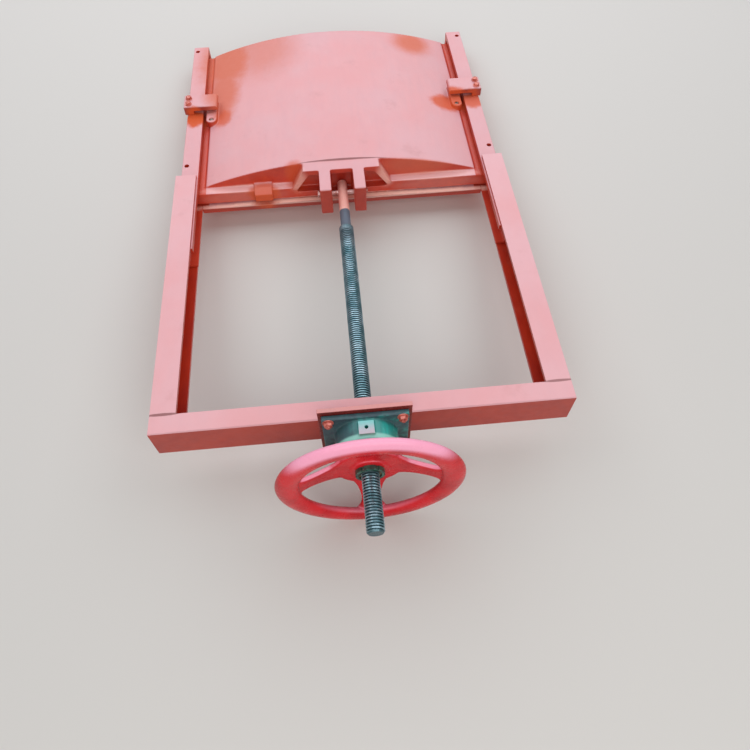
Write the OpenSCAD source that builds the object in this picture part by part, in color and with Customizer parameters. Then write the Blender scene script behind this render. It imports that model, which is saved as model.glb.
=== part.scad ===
// Cast sluice gate with a screw operator and handwheel, drawn upright as it is
// installed, in millimetres. The wall face is y = 0 and the front faces -Y.
// x = 0 is the middle of the waterway, and z = 0 is the foot of the frame.

/* [Waterway] */
// Clear width of the opening that the gate closes
water_w = 600; // [400:10:900]
// Clear height of the opening that the gate closes
water_h = 500; // [360:10:800]

/* [Guide rails] */
// Width of a rail's front face
rail_w = 38; // [36:1:60]
// Depth of a rail, from its front face to the wall
rail_d = 63; // [58:1:90]
// How far the groove goes into a rail sideways
groove_in = 18; // [14:1:24]
// Thickness of the lip in front of the groove
lip_t = 12; // [8:1:18]
// Thickness of the seat behind the groove
seat_t = 13; // [10:1:20]
// How wide the seat is in front of the waterway
seat_w = 22; // [12:1:30]
// Height of the closed foot of the grooves
groove_low = 14; // [6:1:18]
// How far the rails stand above the waterway
rail_over = 200; // [120:10:400]
// Radius of the anchor bolt holes
anchor_r = 5.5; // [4:0.5:8]
// Height of the lower anchor holes
anchor_low = 20; // [16:1:30]
// Distance from the lower to the upper anchor holes
anchor_rise = 460; // [200:10:480]

/* [Sill and head beam] */
// Height of the sill's seat
sill_h = 40; // [30:1:80]
// Height of the bar over the waterway
head_h = 30; // [24:1:60]

/* [Wedge bars] */
// Length of a wedge bar, across the rail and the panel's edge
bar_l = 80; // [70:1:100]
// Height of a wedge bar
bar_h = 50; // [36:1:70]
// How far a wedge bar stands out of the rail
bar_t = 20; // [17:1:28]
// Thickness of a wedge bar's strap
strap_t = 11; // [8:1:12]
// Length of the foot under a wedge bar's outer end
bar_foot = 22; // [14:1:30]
// How far a wedge bar runs past the rail's outer edge
bar_over = 5; // [0:1:10]
// Height of the wedge bars' lower edge
bar_z = 242; // [150:1:300]
// Chamfer on the free end of a wedge bar
bar_chamfer = 4; // [1:1:8]
// Half the width of the panel's wedge boss, and the radius of its round end
boss_r = 13; // [9:1:16]
// How far the wedge boss reaches past the bar, to the middle of its round end
boss_reach = 24; // [18:1:40]
// How far the wedge boss stands out of the panel's flange
boss_t = 20; // [12:1:20]

/* [Gate panel] */
// Thickness of the panel's side and end flanges
flange_t = 28; // [20:1:36]
// How far the arched plate reaches past each side of the waterway
arch_over = 7; // [0:1:10]
// Rise of the arched plate from its side edges to its crown
arch_rise = 50; // [30:1:80]
// Thickness of the arched plate
arch_t = 12; // [8:1:18]
// How far the arched plate's side edges stand out of the flange
arch_step = 4; // [2:1:8]
// Height of the top rim above the arched plate
rim_h = 20; // [14:1:30]
// Thickness of the ribs and end walls behind the arched plate
rib_t = 12; // [8:1:18]
// How far the panel's top edge covers the head beam
head_lap = 20; // [12:1:30]

/* [Rim boss] */
// Distance from the middle to the near side of the rim's cast boss
rim_boss_x = 158; // [120:1:220]
// Width of the rim's cast boss
rim_boss_w = 40; // [24:1:60]
// How far the cast boss stands over the rim
rim_boss_h = 12; // [4:1:20]
// How far the cast boss stands out of the rim's front
rim_boss_t = 5; // [2:1:10]

/* [Lifting lug] */
// Width of the lug's flat top
lug_top_w = 168; // [120:2:220]
// How far each sloped side of the lug spreads
lug_slope_w = 28; // [14:1:40]
// Thickness of the lug's walls
lug_t = 13; // [9:1:18]
// How far the lug's hood stands above the panel's rim
lug_hood = 8; // [4:1:16]
// How far the pockets beside the ears go into the panel's rim
lug_pocket = 12; // [4:1:14]
// Gap between the two ears
ear_gap = 48; // [40:1:60]
// Thickness of an ear
ear_t = 26; // [16:1:32]
// How far the ears stand above the panel's rim
ear_h = 74; // [60:1:100]
// How far the ears reach behind the stem's axis
ear_back = 11; // [11:1:22]
// Radius of the hanger pin
pin_r = 5; // [4:0.5:6]
// Height of the hanger pin above the panel's rim
pin_up = 20; // [16:1:50]

/* [Yoke] */
// Thickness of the yoke's channel sections
channel_t = 7; // [5:0.5:9]
// Width of the side channels' flanges
side_flange = 45; // [40:1:56]
// Width of the crossbeam's flanges
beam_flange = 38; // [34:1:56]
// Depth of the channels
channel_d = 70; // [66:1:100]
// Length of the side channels that lies over the rails
rail_lap = 220; // [120:10:300]
// Clear space over the panel's ears when the gate is fully open
top_clear = 41; // [8:1:80]

/* [Operator] */
// Distance from the wall face to the stem's axis
stem_y = 42; // [38:1:50]
// Radius of the stem over its thread
stem_r = 15.5; // [12:0.5:16]
// Radius of the plain shank at the stem's foot
shank_r = 11; // [9:0.5:13]
// Length of the shank above the hanger pin
shank_l = 70; // [30:1:80]
// How far the stem stands above the ring nut when the gate is shut
stem_over = 100; // [60:5:200]
// Width of the base plate
base_w = 160; // [130:2:200]
// Depth of the base plate
base_l = 136; // [116:2:180]
// Thickness of the base plate
base_t = 8; // [6:1:14]
// Width of the housing's flange
foot_w = 148; // [120:2:180]
// Depth of the housing's flange
foot_l = 116; // [100:2:160]
// Thickness of the housing's flange
foot_t = 10; // [6:1:14]
// Outer radius of the housing's barrel
barrel_r = 55; // [48:1:70]
// Height of the housing above the base plate
housing_h = 56; // [44:1:90]
// Radius of the housing's top collar
collar_r = 47; // [36:1:50]
// Height of the housing's top collar
collar_h = 10; // [6:1:16]
// Width and height of the oiling pad on the barrel
pad_w = 27; // [20:1:34]
// Radius of the drive nut's thrust flange
thrust_r = 38; // [32:1:42]
// Radius of the drive nut's sleeve
sleeve_r = 20; // [20:1:26]

/* [Handwheel] */
// Outer radius of the rim
wheel_r = 159; // [120:1:220]
// Width of the rim, measured radially
rim_w = 40; // [22:1:44]
// Thickness of the rim
rim_t = 20; // [14:1:26]
// How far the rim stands above the hub
dish = 32; // [0:1:40]
// Radius of the hub
hub_r = 58; // [44:1:64]
// Thickness of the hub
hub_t = 20; // [16:1:30]
// Width of a spoke at the rim
spoke_w = 34; // [18:1:44]
// Width of a spoke where it leaves the hub
spoke_root_w = 60; // [30:1:64]
// Thickness of a spoke
spoke_t = 11; // [8:1:16]
// Height of the collar on the hub, under the ring nut
hub_collar = 4; // [2:1:8]
// Radius of the ring nut, at the bottom of its notches
ring_r = 23; // [22:1:30]
// Thickness of the ring nut
ring_t = 8; // [7:1:16]

/* [Clearances] */
// Gap between a rail's outer side and the side channel's web
yoke_gap = 3; // [0.5:0.5:8]
// Clear space around the panel's flange in the grooves
run_gap = 5; // [5:0.5:8]
// Clear space between the panel's foot and the closed foot of the grooves
sill_gap = 10; // [5:1:12]
// Radial gap of the stem in the drive nut, and of the hanger pin
thread_gap = 0.15; // [0.05:0.05:0.4]
// Gap of the drive nut in its housing, radially and at the thrust face
nut_gap = 0.4; // [0.3:0.1:1]
// Radial gap of the stem in the holes that it only passes through
stem_gap = 6; // [5:0.5:9]

/* [Hidden] */
$fn = 96;
eps = 0.01;

iron = [0.72, 0.27, 0.20];
wheel_red = [0.72, 0.12, 0.14];
housing_green = [0.10, 0.45, 0.38];
steel = [0.35, 0.42, 0.44];
bronze = [0.62, 0.48, 0.25];
dark_green = [0.12, 0.30, 0.27];

// Frame, in its own plane
water_top = sill_h + water_h;
rail_in = water_w / 2 + seat_w;
rail_out = rail_in + rail_w;
rail_h = water_top + rail_over;
groove_front = -(rail_d - lip_t);
groove_x = rail_in + groove_in;
anchor_x = (groove_x + rail_out) / 2;
yoke_z = rail_h - rail_lap;
yoke_w = 2 * (rail_out + yoke_gap + channel_t);

// Panel
flange_back = -(seat_t + run_gap);
flange_front = flange_back - flange_t;
flange_x = groove_x - run_gap;
panel_low = groove_low + sill_gap;
panel_top = water_top + head_lap;
plate_top = panel_top - rim_h;
arch_half = water_w / 2 + arch_over;
flange_in = water_w / 2 - 14;
edge_y = flange_front - arch_step;
crown_y = edge_y - arch_rise;
arch_r = (pow(arch_half, 2) + pow(arch_rise, 2)) / (2 * arch_rise);
arch_y = crown_y + arch_r;

// Lug and hanger
lug_front = crown_y + 3;
lug_foot_w = lug_top_w + 2 * lug_slope_w;
lug_in_top = lug_top_w / 2 - lug_t * 0.9;
lug_in_foot = lug_foot_w / 2 - lug_t * 0.8;
ear_top = panel_top + ear_h;
pin_z = panel_top + pin_up;
stem_foot = plate_top + 7;
shank_top = pin_z + shank_l;

// Yoke: the open gate's ears stay under the crossbeam's web
travel = water_h - 10;
web_low = ear_top + travel + top_clear;
yoke_top = max(web_low + channel_t, rail_h + beam_flange);
beam_low = yoke_top - beam_flange;
yoke_front = -(rail_d + channel_t);

// Operator stack, from the base plate up
base_z = yoke_top;
base_top = base_z + base_t;
housing_top = base_top + housing_h;
barrel_top = housing_top - collar_h;
thrust_low = base_top + nut_gap;
thrust_t = 26;
chamber_top = thrust_low + thrust_t + nut_gap;
hub_low = housing_top + 5;
hub_top = hub_low + hub_t;
rim_z = hub_low + hub_t / 2 + dish;
sleeve_top = hub_top + 2;
ring_low = hub_top;
ring_top = ring_low + ring_t;
stem_top = ring_top + stem_over;

// A box from its near corner to its far corner
module block(x0, x1, y0, y1, z0, z1)
    translate([x0, y0, z0]) cube([x1 - x0, y1 - y0, z1 - z0]);

// A round bar or hole along Z on the stem's axis
module on_stem(z0, z1, r, sides = 96)
    translate([0, -stem_y, z0]) cylinder(h = z1 - z0, r = r, $fn = sides);

module mirrored(side)
    if (side > 0) children(); else mirror([1, 0, 0]) children();

// Guide rail of the right-hand side: a grooved bar with a wider seat beside
// the waterway. Above the yoke's foot its back is relieved for the channel.
module rail() {
    difference() {
        union() {
            block(rail_in, rail_out, -rail_d, 0, 0, rail_h);
            block(water_w / 2, rail_in + eps, -seat_t, 0, 0, water_top);
        }
        block(rail_in - 1, groove_x, groove_front, -seat_t, groove_low, rail_h + 1);
        block(rail_in - 8, rail_out + 1, -channel_t, 1, yoke_z, rail_h + 1);
        for (z = [anchor_low, anchor_low + anchor_rise])
            translate([anchor_x, 1, z]) rotate([90, 0, 0])
                cylinder(h = rail_d + 2, r = anchor_r, $fn = 48);
    }
}

// Sill: a flat seat that the panel's foot overlaps
module sill()
    block(-water_w / 2, water_w / 2, -seat_t, 0, 0, sill_h);

// Flat bar over the waterway, flush with the seats of the rails
module head() {
    block(-water_w / 2, water_w / 2, -seat_t, 0, water_top, water_top + head_h);
    for (s = [-1, 1])
        mirrored(s)
            block(water_w / 2 - eps, rail_in, -seat_t, 0, water_top, water_top + head_h);
}

// Bar across the rail's front that holds the panel's edge back on its seat: a
// strap on a foot. Its free end is chamfered towards the panel.
module wedge_bar() {
    out = rail_out + bar_over;
    inner = out - bar_l;
    front = -rail_d - bar_t;
    back = front + strap_t;
    translate([0, 0, bar_z])
        linear_extrude(height = bar_h)
            polygon([[inner + bar_chamfer, front], [out, front], [out, -rail_d],
                     [out - bar_foot, -rail_d], [out - bar_foot, back],
                     [inner, back], [inner, front + bar_chamfer]]);
}

// Rolled channel section with rounded roots: flanges along X, web at the far end
module channel_section(flange) {
    root = min(yoke_gap, channel_t);
    inner = flange - channel_t;
    difference() {
        square([flange, channel_d]);
        translate([-1, channel_t]) square([inner - root + 1, channel_d - 2 * channel_t]);
        translate([-1, channel_t + root])
            square([inner + 1, channel_d - 2 * (channel_t + root)]);
        for (y = [channel_t + root, channel_d - channel_t - root])
            translate([inner - root, y]) circle(r = root, $fn = 24);
    }
}

// Side channel of the yoke, open towards the stem, gripping the rail's edge
module yoke_side()
    translate([yoke_w / 2 - side_flange, yoke_front, yoke_z])
        linear_extrude(height = beam_low - yoke_z) channel_section(side_flange);

// Crossbeam channel with its web up, open downwards
module crossbeam()
    difference() {
        translate([yoke_w / 2, yoke_front, beam_low]) rotate([0, -90, 0])
            linear_extrude(height = yoke_w) channel_section(beam_flange);
        on_stem(beam_low, yoke_top + 1, stem_r + stem_gap);
    }

// Plate between the crossbeam and the housing, deeper than the crossbeam
module base_plate() {
    difference() {
        block(-base_w / 2, base_w / 2, -stem_y - base_l / 2, -stem_y + base_l / 2,
              base_z, base_top);
        on_stem(base_z - 1, base_top + 1, stem_r + 4);
    }
}

// Housing: rectangular foot, round barrel and a smaller collar, hollow for
// the drive nut
module housing() {
    difference() {
        union() {
            block(-foot_w / 2, foot_w / 2, -stem_y - foot_l / 2, -stem_y + foot_l / 2,
                  base_top, base_top + foot_t);
            on_stem(base_top, barrel_top, barrel_r);
            // A chamfer from the barrel in to the collar
            translate([0, -stem_y, barrel_top])
                cylinder(h = 4, r1 = barrel_r, r2 = barrel_r - 4);
            on_stem(base_top, housing_top, collar_r);
        }
        on_stem(base_top - 1, chamber_top, thrust_r + nut_gap);
        on_stem(base_top - 1, housing_top + 1, sleeve_r + nut_gap);
        translate([0, -stem_y - barrel_r + 1, (base_top + foot_t + barrel_top) / 2])
            rotate([90, 0, 0]) cylinder(h = 30, r = 3, center = true, $fn = 32);
    }
}

// Square pad with the oil hole, cast on the barrel's front
module oil_pad() {
    z = (base_top + foot_t + barrel_top) / 2;
    difference() {
        block(-pad_w / 2, pad_w / 2, -stem_y - barrel_r - 4, -stem_y - barrel_r + 6,
              z - pad_w / 2 + 1, z + pad_w / 2 - 1);
        on_stem(base_top, housing_top, barrel_r);
        translate([0, -stem_y - barrel_r, z]) rotate([90, 0, 0])
            cylinder(h = 30, r = 3, center = true, $fn = 32);
    }
}

// Outline of the arched plate's outside or inside, seen from above
module arch_round(r, z0, z1)
    translate([0, arch_y, z0]) cylinder(h = z1 - z0, r = r, $fn = 360);

// Arched plate with its end walls and the rim along its top
module panel() {
    difference() {
        intersection() {
            arch_round(arch_r, panel_low, plate_top);
            block(-arch_half, arch_half, crown_y - 1, flange_back, panel_low, plate_top);
        }
        arch_round(arch_r - arch_t, panel_low + rib_t, plate_top - rib_t);
        // The flanges at the sides are pieces of their own
        for (s = [-1, 1])
            mirrored(s)
                block(flange_in, arch_half + 1, flange_front, 1, panel_low - 1, plate_top + 1);
    }
    // Rim, with the lug's pockets and a deeper one for the stem's foot
    difference() {
        block(-flange_in, flange_in, flange_front, flange_back, plate_top, panel_top);
        block(-lug_in_foot, lug_in_foot, flange_front - 1, flange_front + lug_pocket,
              plate_top, panel_top + 1);
        block(-ear_gap / 2, ear_gap / 2, flange_front - 1, -stem_y + shank_r + 5,
              plate_top, panel_top + 1);
    }
}

// Two level ribs that stiffen the plate from behind
module ribs() {
    for (k = [1, 2])
        let (z = panel_low + k * (plate_top - panel_low) / 3)
            intersection() {
                arch_round(arch_r - arch_t, z - rib_t / 2, z + rib_t / 2);
                block(-flange_in, flange_in, crown_y, flange_back, z - rib_t, z + rib_t);
            }
}

// Side flange that runs in the rail's groove
module side_flange_bar()
    block(flange_in, flange_x, flange_front, flange_back, panel_low, panel_top);

// Hood of the lifting lug: the rim rises to the crown with sloped sides
module lug() {
    top = lug_top_w / 2;
    foot = lug_foot_w / 2;
    translate([0, 0, plate_top])
        linear_extrude(height = rim_h + lug_hood)
            difference() {
                polygon([[-foot, flange_front], [-top, lug_front],
                         [top, lug_front], [foot, flange_front]]);
                polygon([[-lug_in_foot, flange_front + 1], [-lug_in_top, lug_front + lug_t],
                         [lug_in_top, lug_front + lug_t], [lug_in_foot, flange_front + 1]]);
            }
}

// Two ears that carry the hanger pin
module ears() {
    for (s = [-1, 1])
        mirrored(s)
            difference() {
                union() {
                    block(ear_gap / 2, ear_gap / 2 + ear_t, lug_front + lug_t,
                          flange_front + lug_pocket, plate_top, ear_top);
                    block(ear_gap / 2, ear_gap / 2 + ear_t, lug_front, lug_front + lug_t,
                          panel_top + lug_hood, ear_top);
                    block(ear_gap / 2, ear_gap / 2 + ear_t, flange_front + lug_pocket,
                          -stem_y + ear_back, panel_top, ear_top);
                }
                translate([0, -stem_y, pin_z]) rotate([0, 90, 0])
                    cylinder(h = ear_gap / 2 + ear_t + 1, r = pin_r + thread_gap, $fn = 48);
            }
}

// Small cast block on the rim, on one side only
module rim_boss() {
    front = flange_front - rim_boss_t;
    back = flange_back - 6;
    translate([rim_boss_x, 0, 0]) rotate([90, 0, 90])
        linear_extrude(height = rim_boss_w)
            polygon([[front, plate_top], [front, panel_top - 3],
                     [front + 8, panel_top + rim_boss_h], [back, panel_top + rim_boss_h],
                     [back, panel_top], [flange_front, panel_top],
                     [flange_front, plate_top]]);
}

// Wedge boss on the panel's edge: it runs in behind the bar, and its round
// end over the bar has the hole of the adjusting bolt
module wedge_boss() {
    x = arch_half - 6;
    z = bar_z + bar_h + boss_reach;
    front = flange_front - boss_t;
    difference() {
        union() {
            block(x - boss_r, x + boss_r, front, flange_front, bar_z, z);
            translate([x, flange_front, z]) rotate([90, 0, 0])
                cylinder(h = boss_t, r = boss_r, $fn = 64);
        }
        translate([x, flange_front + 1, z]) rotate([90, 0, 0])
            cylinder(h = boss_t + 2, r = boss_r * 0.4, $fn = 40);
        // Clear of the arched plate, which is a piece of its own
        arch_round(arch_r, bar_z - 1, z + boss_r + 1);
    }
}

// Stem over its thread, with a chamfered top and a plain shank at its foot
module stem() {
    step = stem_r - shank_r;
    difference() {
        translate([0, -stem_y, 0]) rotate_extrude()
            polygon([[0, stem_foot], [shank_r - 4, stem_foot], [shank_r, stem_foot + 5],
                     [shank_r, shank_top], [stem_r, shank_top + step],
                     [stem_r, stem_top - 3], [stem_r - 3, stem_top], [0, stem_top]]);
        translate([0, -stem_y, pin_z]) rotate([0, 90, 0])
            cylinder(h = 4 * stem_r, r = pin_r + thread_gap, center = true, $fn = 48);
    }
}

module hanger_pin() {
    half = ear_gap / 2 + ear_t;
    translate([-half - 6, -stem_y, pin_z]) rotate([0, 90, 0])
        cylinder(h = 2 * half + 12, r = pin_r, $fn = 48);
    translate([half, -stem_y, pin_z]) rotate([0, 90, 0])
        cylinder(h = 6, r = pin_r + 3, $fn = 48);
}

// Bronze nut: thrust flange in the housing, sleeve up through the wheel's hub
module drive_nut() {
    difference() {
        union() {
            on_stem(thrust_low, thrust_low + thrust_t, thrust_r);
            on_stem(thrust_low, ring_top - 2, sleeve_r);
        }
        on_stem(thrust_low - 1, ring_top, stem_r + thread_gap);
    }
}

// One spoke, tapering from its root to the rim and rising with the dish
module spoke() {
    reach = wheel_r - rim_w / 2;
    start = hub_r - 12;
    rise = atan(dish / (reach - start));
    translate([start, 0, 0]) rotate([0, -rise, 0])
        translate([0, 0, -spoke_t / 2])
            linear_extrude(height = spoke_t)
                polygon([[0, -spoke_root_w / 2], [reach - start, -spoke_w / 2],
                         [reach - start, spoke_w / 2], [0, spoke_root_w / 2]]);
}

module handwheel() {
    r = rim_t / 2;
    translate([0, -stem_y, 0]) {
        difference() {
            union() {
                translate([0, 0, hub_low]) cylinder(h = hub_t - hub_collar, r = hub_r);
                translate([0, 0, hub_low]) cylinder(h = hub_t, r = ring_r + 11);
                for (k = [0 : 3])
                    translate([0, 0, rim_z - dish]) rotate([0, 0, 90 * k]) spoke();
            }
            translate([0, 0, hub_low - spoke_t]) cylinder(h = hub_t + dish + spoke_t, r = sleeve_r);
        }
        // Rim with rounded edges
        translate([0, 0, rim_z]) rotate_extrude($fn = 180) {
            translate([wheel_r - r, 0]) circle(r = r, $fn = 40);
            translate([wheel_r - rim_w + r, 0]) circle(r = r, $fn = 40);
            translate([wheel_r - rim_w + r, -r]) square([rim_w - 2 * r, rim_t]);
        }
    }
}

// Ring nut that locks the wheel on the drive nut's sleeve
module ring_nut() {
    difference() {
        on_stem(ring_low, ring_top, ring_r + 2);
        on_stem(ring_low - 1, ring_top + 1, sleeve_r);
        for (k = [0 : 5])
            translate([0, -stem_y, ring_low - 1]) rotate([0, 0, 60 * k])
                translate([ring_r, -3, 0]) cube([6, 6, ring_t + 2]);
    }
}

color(iron) rail();  // rail_right
color(iron) mirror([1, 0, 0]) rail();  // rail_left
color(iron) sill();  // bottom_sill
color(iron) head();  // head_beam
color(iron) wedge_bar();  // wedge_bar_right
color(iron) mirror([1, 0, 0]) wedge_bar();  // wedge_bar_left
color(iron) yoke_side();  // yoke_side_right
color(iron) mirror([1, 0, 0]) yoke_side();  // yoke_side_left
color(iron) crossbeam();  // yoke_crossbeam
color(wheel_red) base_plate();
color(housing_green) housing();  // operator_housing
color(housing_green) oil_pad();
color(iron) panel();  // gate_panel
color(iron) ribs();  // panel_ribs
color(iron) side_flange_bar();  // panel_flange_right
color(iron) mirror([1, 0, 0]) side_flange_bar();  // panel_flange_left
color(iron) lug();  // lifting_lug
color(iron) ears();  // lug_ears
color(iron) rim_boss();
color(iron) wedge_boss();  // wedge_boss_right
color(iron) mirror([1, 0, 0]) wedge_boss();  // wedge_boss_left
color(steel) stem();
color(steel) hanger_pin();
color(bronze) drive_nut();
color(wheel_red) handwheel();
color(dark_green) ring_nut();
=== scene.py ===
# Looks of a cast sluice gate with a screw operator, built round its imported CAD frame.
# Metres. +Z runs up the stem, and -Y is the front that faces the camera.
import math

import bmesh
import bpy
from mathutils import Matrix, Vector, noise


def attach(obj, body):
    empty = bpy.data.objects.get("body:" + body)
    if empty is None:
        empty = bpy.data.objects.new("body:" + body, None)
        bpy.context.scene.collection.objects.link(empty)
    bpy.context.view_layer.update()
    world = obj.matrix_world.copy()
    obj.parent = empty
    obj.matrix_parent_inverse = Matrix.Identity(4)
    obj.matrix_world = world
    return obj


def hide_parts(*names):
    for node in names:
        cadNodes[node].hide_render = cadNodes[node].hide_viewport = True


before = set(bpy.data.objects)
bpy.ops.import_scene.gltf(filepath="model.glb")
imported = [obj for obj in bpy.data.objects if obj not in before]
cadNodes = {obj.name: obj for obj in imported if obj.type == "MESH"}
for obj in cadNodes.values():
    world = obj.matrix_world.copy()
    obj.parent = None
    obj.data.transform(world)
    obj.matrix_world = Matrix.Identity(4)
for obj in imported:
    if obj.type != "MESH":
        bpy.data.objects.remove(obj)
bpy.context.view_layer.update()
print("frame loaded,", len(cadNodes), "CAD nodes")


# Colours are written as they read on a screen, from 0 to 255
def screenColour(red, green, blue):
    linear = []
    for part in (red, green, blue):
        share = part / 255
        linear.append(share / 12.92 if share <= 0.04045 else ((share + 0.055) / 1.055) ** 2.4)
    return (*linear, 1.0)


def addNode(tree, kind, inputs=None, **settings):
    node = tree.nodes.new(kind)
    for key, value in settings.items():
        setattr(node, key, value)
    for socket, value in (inputs or {}).items():
        if isinstance(value, bpy.types.NodeSocket):
            tree.links.new(value, node.inputs[socket])
        else:
            node.inputs[socket].default_value = value
    return node


def maths(tree, operation, first, second=0.0):
    return addNode(tree, "ShaderNodeMath", {0: first, 1: second}, operation=operation).outputs[0]


def clouds(tree, where, scale, detail=3.0, roughness=0.55):
    sockets = {"Vector": where, "Scale": scale, "Detail": detail, "Roughness": roughness}
    return addNode(tree, "ShaderNodeTexNoise", sockets).outputs[0]


# Where value goes from low to high, the result goes from 0 to top
def ramp(tree, value, low, high, top=1.0):
    sockets = {0: value, 1: low, 2: high, 3: 0.0, 4: top}
    kind = "ShaderNodeMapRange"
    return addNode(tree, kind, sockets, interpolation_type="SMOOTHSTEP").outputs[0]


def mixColour(tree, share, first, second):
    sockets = {0: share, 6: first, 7: second}
    return addNode(tree, "ShaderNodeMix", sockets, data_type="RGBA").outputs[2]


def stretched(tree, where, scale):
    return addNode(tree, "ShaderNodeMapping", {0: where, 3: scale}).outputs[0]


def newMaterial(name, fixed):
    material = bpy.data.materials.new(name)
    material.use_nodes = True
    tree = material.node_tree
    shader = tree.nodes["Principled BSDF"]
    for socket, value in fixed.items():
        shader.inputs[socket].default_value = value
    coord = addNode(tree, "ShaderNodeTexCoord")
    return material, tree, shader, coord


# How far a face looks to the front, which lies upward in the photo
def frontness(tree, coord):
    normal = addNode(tree, "ShaderNodeSeparateXYZ", {0: coord.outputs["Normal"]})
    return maths(tree, "MULTIPLY", normal.outputs[1], -1.0)


def useBump(tree, shader, height, strength, distance):
    sockets = {"Height": height, "Strength": strength, "Distance": distance}
    bump = addNode(tree, "ShaderNodeBump", sockets)
    tree.links.new(bump.outputs[0], shader.inputs["Normal"])


# Ellipsoids with ragged edges, for spots of another paint, dark seams, painted shade and painted
# highlights on ledges. A spot fades from its middle outward, over the share of its reach that soft
# gives.
def spot(at, reach, soft, strength):
    return {"at": at, "reach": reach, "soft": soft, "strength": strength}


def spotShare(tree, where, spots, raggedness):
    ragged = maths(tree, "SUBTRACT", clouds(tree, where, 45, 6, 0.68), 0.5)
    ragged = maths(tree, "MULTIPLY", ragged, raggedness)
    total = None
    for one in spots:
        away = addNode(tree, "ShaderNodeVectorMath", {0: where, 1: one["at"]},
                       operation="SUBTRACT").outputs[0]
        away = addNode(tree, "ShaderNodeVectorMath", {0: away, 1: one["reach"]},
                       operation="DIVIDE").outputs[0]
        away = addNode(tree, "ShaderNodeVectorMath", {0: away}, operation="LENGTH").outputs["Value"]
        away = maths(tree, "ADD", away, ragged)
        share = ramp(tree, away, 1 + one["soft"] / 2, 1 - one["soft"] / 2, one["strength"])
        total = share if total is None else maths(tree, "MAXIMUM", total, share)
    return total


ironLook = {
    "paint": (200, 66, 42),
    "thinPaint": (178, 52, 38),
    "touchUp": (206, 106, 78),
    "patchPaint": (204, 84, 40),
    # Pale bloom on faces that lie upward: partly dust, partly painted sheen
    "dustAndSheen": (228, 188, 196),
    "dustAndSheenShare": 0.60,
    "grooveX": 0.3075,
    "grooveY": -0.056,
    "scuff": (168, 108, 94),
    "scuffShare": 0.22,
    "pocketX": 0.1016,
    "pocketY": -0.041,
    "pocketZ": (0.536, 0.5605),
    "limitBlur": 0.002,
    "seamShade": (112, 50, 46),
    # Dark joint lines where the side channels meet the crossbeam, and painted shade along the
    # hood's top edge, over the head beam, on the ears' ends, along the base plate's joint with the
    # yoke and under the wedge bars
    "seams": [
        spot((0.0, -0.0985, 0.5385), (0.106, 0.010, 0.0024), 0.7, 0.80),
        spot((0.0, -0.007, 0.5705), (0.330, 0.010, 0.004), 0.8, 0.55),
        spot((0.037, -0.06, 0.634), (0.020, 0.06, 0.004), 0.8, 0.32),
        spot((-0.037, -0.06, 0.634), (0.020, 0.06, 0.004), 0.8, 0.32),
        spot((0.0, -0.035, 1.172), (0.500, 0.08, 0.004), 0.6, 0.32),
        spot((0.348, -0.070, 1.1336), (0.030, 0.012, 0.0028), 0.6, 0.80),
        spot((-0.348, -0.070, 1.1336), (0.030, 0.012, 0.0026), 0.6, 0.72),
        spot((0.338, -0.072, 0.2925), (0.046, 0.018, 0.005), 0.6, 0.55),
        spot((-0.338, -0.072, 0.2925), (0.046, 0.018, 0.005), 0.6, 0.55),
    ],
    # Painted highlights: pale light on the rim's front and upper faces, on the head beam's front
    # and on the hood's end slopes
    "ledgeHighlight": (255, 208, 192),
    "ledgeHighlights": [
        spot((0.205, -0.046, 0.550), (0.100, 0.006, 0.013), 0.6, 0.30),
        spot((-0.205, -0.046, 0.550), (0.100, 0.006, 0.013), 0.6, 0.30),
        spot((0.0, -0.0155, 0.567), (0.400, 0.005, 0.014), 0.5, 1.00),
        spot((0.225, -0.032, 0.560), (0.090, 0.016, 0.004), 0.8, 0.12),
        spot((-0.225, -0.032, 0.560), (0.090, 0.016, 0.004), 0.8, 0.12),
        spot((0.100, -0.073, 0.563), (0.021, 0.034, 0.014), 0.9, 0.42),
        spot((-0.100, -0.073, 0.563), (0.021, 0.034, 0.014), 0.9, 0.50),
    ],
    "roughness": 0.36,
    "coat": 0.25,
    "touchUps": [
        spot((0.270, -0.07, 0.080), (0.070, 0.06, 0.110), 1.0, 0.90),
        spot((0.210, -0.08, 0.030), (0.100, 0.06, 0.050), 1.2, 0.60),
        spot((0.278, -0.07, 0.205), (0.042, 0.06, 0.110), 0.9, 0.85),
        spot((0.172, -0.09, 0.072), (0.080, 0.06, 0.100), 1.4, 0.58),
        spot((-0.219, -0.08, 0.062), (0.046, 0.05, 0.050), 1.1, 0.88),
        spot((-0.170, -0.07, 0.541), (0.085, 0.03, 0.006), 1.0, 0.55),
    ],
    "patches": [
        spot((0.272, -0.07, 0.312), (0.020, 0.05, 0.030), 0.7, 0.75),
        spot((0.341, -0.06, 0.309), (0.026, 0.03, 0.030), 0.5, 1.00),
        spot((-0.284, -0.07, 0.306), (0.046, 0.05, 0.030), 0.6, 0.90),
        spot((-0.340, -0.06, 0.310), (0.026, 0.03, 0.028), 0.6, 0.85),
        spot((0.178, -0.04, 0.562), (0.034, 0.04, 0.022), 0.6, 0.80),
        spot((0.104, -0.07, 0.545), (0.020, 0.05, 0.020), 0.8, 0.60),
    ],
}


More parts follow.
